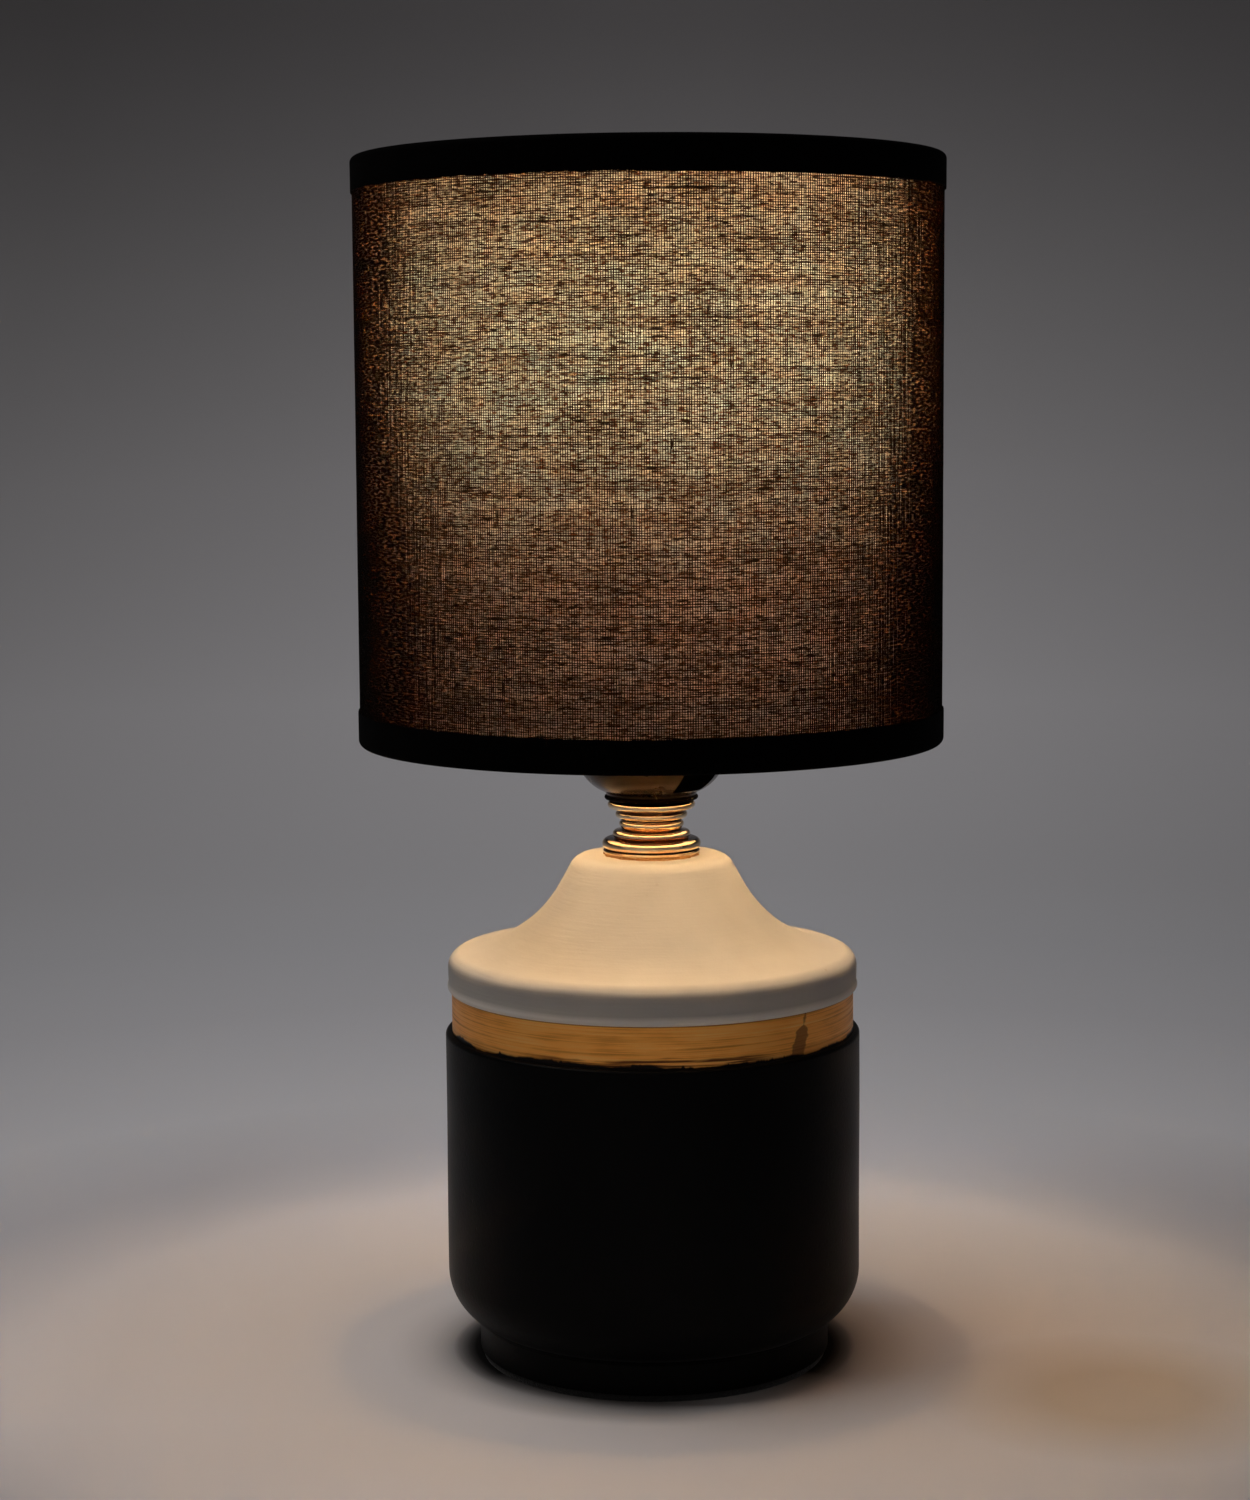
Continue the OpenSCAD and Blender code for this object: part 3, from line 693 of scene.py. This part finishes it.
def cut_cord_hole(base):
    """Cuts the hole that the grommet sits in."""
    low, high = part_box("cord_grommet")
    middle = (low + high) / 2
    outward = Vector((middle.x, middle.y, 0)).normalized()
    mesh = bpy.data.meshes.new("cord_hole")
    drill = bmesh.new()
    bmesh.ops.create_cone(drill, cap_ends=True, segments=48, radius1=CORD_HOLE_R, radius2=CORD_HOLE_R,
                          depth=0.03)
    drill.to_mesh(mesh)
    drill.free()
    cutter = bpy.data.objects.new("cord_hole", mesh)
    bpy.context.scene.collection.objects.link(cutter)
    cutter.location = middle
    cutter.rotation_euler = outward.to_track_quat("Z", "Y").to_euler()
    modifier = base.modifiers.new("hole", "BOOLEAN")
    modifier.object, modifier.operation, modifier.solver = cutter, "DIFFERENCE", "EXACT"
    bpy.context.view_layer.update()
    depsgraph = bpy.context.evaluated_depsgraph_get()
    drilled = bpy.data.meshes.new_from_object(base.evaluated_get(depsgraph))
    base.modifiers.clear()
    base.data = drilled
    bpy.data.objects.remove(cutter)
    smooth(base)


def make_band():
    """The painted band between the base and the cap."""
    band_r, low, high = reach("gold_band")
    inner_r = 51.7
    profile = [(band_r, low), *[(band_r, z) for z in np.linspace(low + 0.4, high - 0.4, 14)],
               (band_r, high), (inner_r, high), (inner_r, low)]
    band = turned("band_painted", profile, change=hand_made(depth=0.05, seed=5))
    dress(band, "root", gold_paint(band_r, low, high), "ceramic_gold", "gold_band")


def make_cap():
    """The white ceramic cap: a rounded lip, a hollow sweep and a stub that the neck stands on."""
    cap_r, low, cap_top = reach("ceramic_cap")
    lip, sweep_r, shoulder, stub_r = 4.0, 37.0, 5.0, 23.2
    lip_x, lip_z, sweep_x = cap_r - lip, low + 6.5, cap_r + 1
    meet = math.degrees(math.acos((sweep_x - lip_x) / (lip + sweep_r)))
    sweep_z = lip_z + (lip + sweep_r) * math.sin(math.radians(meet))
    outside = [(55.5, low), (cap_r - 1.3, low + 0.02), *arc(cap_r - 1.05, low + 1.25, 1.25, -84, 8, 9),
               (cap_r - 0.1, low + 2.6), (cap_r - 0.05, low + 4), *arc(lip_x, lip_z, lip, 0, meet, 16),
               *arc(sweep_x, sweep_z, sweep_r, 180 + meet, 208, 30),
               *arc(stub_r - shoulder, cap_top - shoulder, shoulder, 26, 90, 12),
               (14, cap_top), (6, cap_top)]
    inside = [(6, cap_top - 5), (15, cap_top - 7), (20, cap_top - 14), (26, cap_top - 22),
              (36, low + 9), (47, low + 5), (51.7, low)]
    cap = turned("cap_body", outside + inside, change=hand_made(depth=0.10, seed=8))
    dress(cap, "root", matt_white(low), "ceramic_white", "ceramic_cap")


def make_felt():
    """The felt pad under the foot, with a soft cut edge."""
    pad_r, low, high = reach("felt_pad")
    edge = 0.5
    profile = [(0, low), (pad_r - edge, low), *arc(pad_r - edge, low + edge, edge, -60, 0, 4),
               *arc(pad_r - edge, high - edge, edge, 0, 60, 4), (pad_r - edge, high), (0, high)]
    pad = turned("felt_disc", profile, closed=False, change=hand_made(depth=0.15, seed=13))
    dress(pad, "root", felt(), "black_felt", "felt_pad")


# ------------------------------------------------------ neck and holder


def make_neck():
    """The turned neck: a foot ring, a bulge, and beads between its grooves."""
    _, low, high = reach("brass_neck")
    profile = [(5.2, low), (12.6, low), (12.7, low + 0.6), *arc(12.95, low + 1.15, 0.5, -80, 60, 8),
               (12.75, low + 1.7), *arc(12.2, low + 3.15, 1.5, -68, 96, 18), (11.2, low + 4.7),
               (10.2, low + 4.8), *arc(9.75, low + 5.85, 1.05, -62, 80, 14), (9.0, low + 6.95),
               (8.45, low + 7.1), (8.35, low + 7.4), *arc(8.1, low + 8.65, 0.9, -60, 62, 10),
               (8.4, low + 9.7), (8.35, low + 9.95), *arc(9.0, low + 11.3, 1.0, -72, 68, 12),
               (9.1, low + 12.45), (9.5, low + 12.7), *arc(11.05, low + 14.05, 1.1, -78, 70, 14),
               (11.0, low + 15.2), (10.6, low + 15.3), (10.6, high), (5.2, high)]
    grooves = [1.75, 4.72, 7.25, 9.85, 12.7, 15.2]
    neck = turned("neck_turned", profile, steps=128)
    dress(neck, "root", polished_brass(low, grooves), "brass_polished", "brass_neck")


def make_glue():
    """The bead of amber glue squeezed out round the neck's foot."""
    rng = np.random.default_rng(53)
    high = reach("ceramic_cap")[2]
    profile = [(12.2, high - 0.2), (13.25, high - 0.15), (13.2, high + 0.2), (13.05, high + 0.55),
               (12.7, high + 0.75), (12.2, high + 0.6)]

    def change(angle, radius, height):
        blobs = rng.normal(0, 1, angle.shape)
        spread = ((-2, 0.4), (-1, 0.8), (0, 1), (1, 0.8), (2, 0.4))
        blobs = sum(np.roll(blobs, k, axis=0) * w for k, w in spread)
        outer = np.clip((radius - 12.6) / 0.9, 0, 1)
        return radius + outer * (0.16 * blobs - 0.1), height + 0.05 * blobs * (height > high)

    glue = turned("neck_glue", profile, change=change)
    made = speckled("amber_glue", (0.42, 0.20, 0.055), (0.66, 0.36, 0.12), 0.6, 0.03, (0.2, 0.35))
    dress(glue, "root", made, None)


def make_dome():
    """The lampholder's spun bowl, on its collar."""
    dome_r, low, high = reach("holder_dome")
    bowl_r, bowl_z, wall = 12.0, low + 13.5, 0.9
    profile = [(5.2, low), (12.2, low), *arc(12.4, low + 0.62, 0.58, -75, 60, 8), (12.5, low + 1.3),
               (12.5, low + 1.6), *arc(dome_r - bowl_r, bowl_z, bowl_r, -70, 0, 24), (dome_r, high - 0.3),
               (dome_r - 0.3, high), (dome_r - wall, high),
               *arc(dome_r - bowl_r, bowl_z, bowl_r - wall, 0, -78, 16), (7.6, low + 2.4),
               (7.6, low + 9), (5.2, low + 9)]
    dome = turned("dome_spun", profile, steps=128)
    dress(dome, "root", bronze_lacquer(dome_r, low), "bronze_lacquer", "holder_dome")


# ----------------------------------------------------------------- shade


def make_shade():
    """The liner, the cloth's ground bonded to it, and the cloth's yarns."""
    shade_r, low, high = reach("shade_fabric")
    liner_r = shade_r - 0.55
    ground_r = liner_r + CLOTH_LIFT
    levels = (low, (low + high) / 2, high)
    liner = turned("liner_inner", [(liner_r, z) for z in levels], closed=False)
    dress(liner, "shade", liner_plastic(), "liner_sheet", "shade_liner")
    rows = [(ground_r, z) for z in np.linspace(low, high, 12)]
    cloth = turned("shade_cloth", rows, closed=False)
    dress(cloth, "shade", cloth_ground(ground_r, low, high), "shade_cloth", "shade_fabric")
    yarns = [*make_weave(ground_r, low, high), *make_slubs(ground_r, low, high)]


def make_weave(radius, low, high):
    """The cloth's upright warp and its level weft, each yarn with its own thickness."""
    rng = np.random.default_rng(17)
    stations = 24
    count = int(2 * math.pi * radius / WARP_PITCH)
    angle = (np.arange(count) + rng.normal(0, 0.03, count)) * 2 * math.pi / count
    sway = rng.normal(0, 0.035, (count, stations)) / radius
    shape = (count, stations)
    height = np.broadcast_to(np.linspace(low, high, stations), shape)
    half = np.clip(rng.normal(0.158, 0.009, (count, 1)) + rng.normal(0, 0.012, shape), 0.08, 0.24)
    heights, stands = [0, 0.25, 0.40, 0.58, 1], [0.30, 0.285, 0.255, 0.215, 0.205]
    stand = np.interp(np.linspace(0, 1, stations), heights, stands)
    rise = stand + rng.normal(0, 0.008, (count, 1)) + rng.normal(0, 0.012, shape)
    warp = strands("cloth_warp", radius, angle[:, None] + sway, height, half, rise, RIDGE, upright=True)
    dress(warp, "shade", yarn("warp_yarn", radius, 0.3, 2.5, 0.015, loose=0.44), "shade_cloth")

    rows, round_stations = WEFT_ROWS, ROUND_STEPS
    shape = (rows, round_stations)
    height = np.linspace(low + 0.2, high - 0.2, rows)[:, None] + rng.normal(0, 0.035, (rows, 1))
    marks = np.arange(0, rows + 6, 5)
    bands = np.interp(np.arange(rows), marks, rng.normal(0, 1, len(marks)))
    run = 8  # stations over which a yarn's thickness changes
    swell = np.repeat(rng.normal(0, 1, (rows, round_stations // run)), run, axis=1)
    swell = sum(np.roll(swell, k, axis=1) for k in range(-run // 2, run // 2)) / run
    half = 0.125 + 0.008 * bands[:, None] + 0.035 * swell
    half = np.clip(half + rng.normal(0, 0.035, shape), 0.05, 0.26)
    angle = np.broadcast_to(np.linspace(0, 2 * math.pi, round_stations, endpoint=False), shape)
    weft = strands("cloth_weft", radius, angle, height + np.zeros(shape), half, 0.4 * half + 0.05,
                   ROUND_RIDGE, upright=False, joined=True)
    dress(weft, "shade", yarn("weft_yarn", radius, 2.5, 0.3, 0.04, loose=0.48), "shade_cloth")
    return warp, weft


def make_slubs(radius, low, high):
    """Thick places that the hand-spun weft leaves: many short, a few long, and some in the warp."""
    rng = np.random.default_rng(29)
    count, stations = SLUBS, 6
    length = np.clip(rng.lognormal(0.75, 0.55, count), 0.9, 9)
    length[:LONG_SLUBS] = rng.uniform(12, 26, LONG_SLUBS)
    t = np.linspace(0, 1, stations)
    taper = np.sin(math.pi * np.clip(t, 0.06, 0.94)) ** 0.5
    angle = rng.uniform(0, 2 * math.pi, (count, 1)) + (t - 0.5) * length[:, None] / radius
    height = rng.uniform(low + 6, high - 6, (count, 1)) + rng.normal(0, 0.05, (count, stations))
    thick = rng.uniform(0.10, 0.20, (count, 1)) * taper
    slubs = strands("cloth_slubs", radius + 0.02, angle, height, thick, thick * 0.9, ROUND_RIDGE,
                    upright=False)
    slub_yarn = yarn("slub_yarn", radius, 2.0, 0.3, 0.03)
    dress(slubs, "shade", slub_yarn, "shade_cloth")

    count = KNOTS
    length = rng.uniform(1.5, 4.5, (count, 1))
    angle = rng.uniform(0, 2 * math.pi, (count, 1)) + rng.normal(0, 0.0008, (count, stations))
    height = rng.uniform(low + 12, high - 12, (count, 1)) + (t - 0.5) * length
    thick = rng.uniform(0.12, 0.26, (count, 1)) * taper
    knots = strands("cloth_knots", radius + 0.02, angle, height, thick, thick * 0.9, ROUND_RIDGE,
                    upright=True)
    dress(knots, "shade", slub_yarn, "shade_cloth")
    return slubs, knots


def make_trims():
    """The tapes folded over the shade's edges, round its wire rings."""
    outer_r, low, high = reach("bottom_trim")[0], reach("bottom_trim")[1], reach("top_trim")[2]
    inner_r = outer_r - 4.75
    cloth_r = outer_r - 0.23
    arms = np.radians([0, 120, 240])  # where the spider's arms pass, from the back

    def fold(edge, up, slit):
        """The tape's profile at one edge, and its change for turned(): up is 1 where the shade is above
        the edge, and -1 below. The outline's heights are measured from the edge."""
        outline = [(cloth_r - 0.15, 9.3), (cloth_r + 0.15, 9.35), (outer_r - 0.05, 9.2), (outer_r, 8.9),
                   (outer_r, 5), (outer_r, 1.8), *arc(outer_r - 1.5, 1.5, 1.5, 0, -90, 8),
                   (outer_r - 2.4, 0), *arc(inner_r + 1.3, 1.3, 1.3, -90, -180, 8), (inner_r, 3),
                   (inner_r, 4.9), (inner_r + 0.45, 4.9), (inner_r + 0.45, 2.2),
                   *arc(inner_r + 1.4, 1.4, 0.95, 180, 270, 6), (cloth_r - 1.0, 0.55),
                   (cloth_r - 0.15, 1.2)]

        def change(angle, radius, height):
            phase = np.random.default_rng(41 + up).uniform(0, 6.28, 6)
            wave = sum(np.sin(k * angle + phase[k % 6]) / k ** 0.5 for k in (2, 3, 5, 11, 23, 37, 61))
            from_edge = (height - edge) * up
            long_edge = np.clip((from_edge - 8) / 1.2, 0, 1)
            ravel = np.random.default_rng(61 + up).normal(0, 0.06, angle.shape)
            height = height + up * (0.10 * wave + ravel) * long_edge
            puff = 0.05 * np.sin(17 * angle + phase[1]) + 0.04 * np.sin(31 * angle + phase[2])
            radius = radius + puff * np.clip(from_edge / 4, 0, 1) * (radius > cloth_r)
            if slit:
                near = min_turn(angle + math.pi, arms) * inner_r
                notch_top, half_notch = 1.2, 2.2
                lap = (radius < inner_r + 0.6) & (from_edge > notch_top)
                height = np.where(lap & (near < half_notch), edge + up * notch_top, height)
            return radius, height

        return [(r, edge + up * z) for r, z in outline], change

    for name, node, edge, up in (("trim_top", "top_trim", high, -1),
                                 ("trim_bottom", "bottom_trim", low, 1)):
        profile, change = fold(edge, up, slit=up > 0)
        tape = turned(name, profile, steps=480, change=change)
        dress(tape, "shade", woven_tape(outer_r), "trim_cloth", node)


def min_turn(angle, marks):
    """The smallest turn from each angle to any of the marks, in radians."""
    turns = [np.abs((angle - m + math.pi) % (2 * math.pi) - math.pi) for m in marks]
    return np.minimum.reduce(turns)


# ------------------------------------------------------------------ bulb


def make_bulb():
    """The candle bulb's opal shell: widest a quarter of the way up, and drawn in to a point."""
    bulb_r, low, high = reach("bulb_diffuser")
    rise, widest, wall = high - low, 0.25, 1
    share = np.linspace(0, 0.995, 40)
    swell = np.where(share < widest, 0.93 + 0.28 * share,
                     np.sqrt(np.clip(1 - ((share - widest) / 0.76) ** 2, 0, 1)))
    outside = [(bulb_r * s, low + u * rise) for u, s in zip(share, swell)]
    inside = [(r - wall, z) for r, z in outside[::-1][4:]]
    shell = turned("bulb_shell", [*outside, (0, high), (0, high - wall), *inside], steps=96)
    dress(shell, "bulb", opal_glow(low, high), "opal", "bulb_diffuser")


def finish_cad_nodes(nodes):
    """Materials for the CAD nodes that are shown as they are."""

    def finish(names, *look, **values):
        """Gives the named nodes one speckled material."""
        made = speckled(*look, **values)
        for name in names:
            nodes[name].data.materials.clear()
            nodes[name].data.materials.append(made)

    finish(["bottom_washer", "bottom_nut", "threaded_tube", "grub_screw", "terminal_screws"],
           "zinc_steel", (0.42, 0.42, 0.41), (0.62, 0.62, 0.60), 1.2, 0.02, (0.25, 0.45), Metallic=1.0)
    finish(["screw_shell", "centre_contact", "side_contact"],
           "contact_brass", (0.55, 0.36, 0.14), (0.75, 0.53, 0.24), 1.0, 0.01, (0.22, 0.4), Metallic=1.0)
    finish(["shade_spider", "lower_wire_ring", "upper_wire_ring"],
           "coated_wire", (0.60, 0.60, 0.58), (0.72, 0.72, 0.70), 0.8, 0.03, (0.35, 0.5))
    finish(["bulb_screw_cap", "bulb_tip_contact"],
           "nickel", (0.62, 0.59, 0.54), (0.78, 0.75, 0.70), 1.5, 0.01, (0.15, 0.3), Metallic=1.0)
    finish(["holder_skirt", "shade_ring_nut"],
           "black_plastic", (0.006, 0.006, 0.006), (0.014, 0.013, 0.012), 0.5, 0.02, (0.25, 0.4))
    finish(["cord_grommet"],
           "black_rubber", (0.01, 0.01, 0.01), (0.022, 0.021, 0.02), 0.3, 0.04, (0.6, 0.8))
    finish(["terminal_block"],
           "porcelain", (0.74, 0.71, 0.64), (0.84, 0.82, 0.76), 0.9, 0.02, (0.12, 0.3))
    finish(["bulb_housing"],
           "white_plastic", (0.78, 0.77, 0.74), (0.86, 0.85, 0.83), 0.4, 0.02, (0.35, 0.5))
    finish(["bulb_insulator"],
           "black_insulator", (0.012, 0.012, 0.018), (0.03, 0.03, 0.04), 0.6, 0.01, (0.08, 0.2))
    finish(["led_driver"],
           "circuit_board", (0.01, 0.11, 0.05), (0.02, 0.18, 0.08), 0.7, 0.03, (0.3, 0.5))
    finish(["led_board"],
           "board_white", (0.7, 0.7, 0.69), (0.82, 0.82, 0.8), 0.8, 0.01, (0.3, 0.45))
    finish(["led_chips"],
           "led_phosphor", (0.75, 0.55, 0.08), (0.9, 0.72, 0.16), 0.3, 0.02, (0.4, 0.6))


bpy.context.scene.view_settings.view_transform = "Standard"
make_camera()
make_stage()
make_base()
make_band()
make_cap()
make_felt()
make_neck()
make_glue()
make_dome()
make_shade()
make_trims()
make_bulb()
finish_cad_nodes(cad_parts)
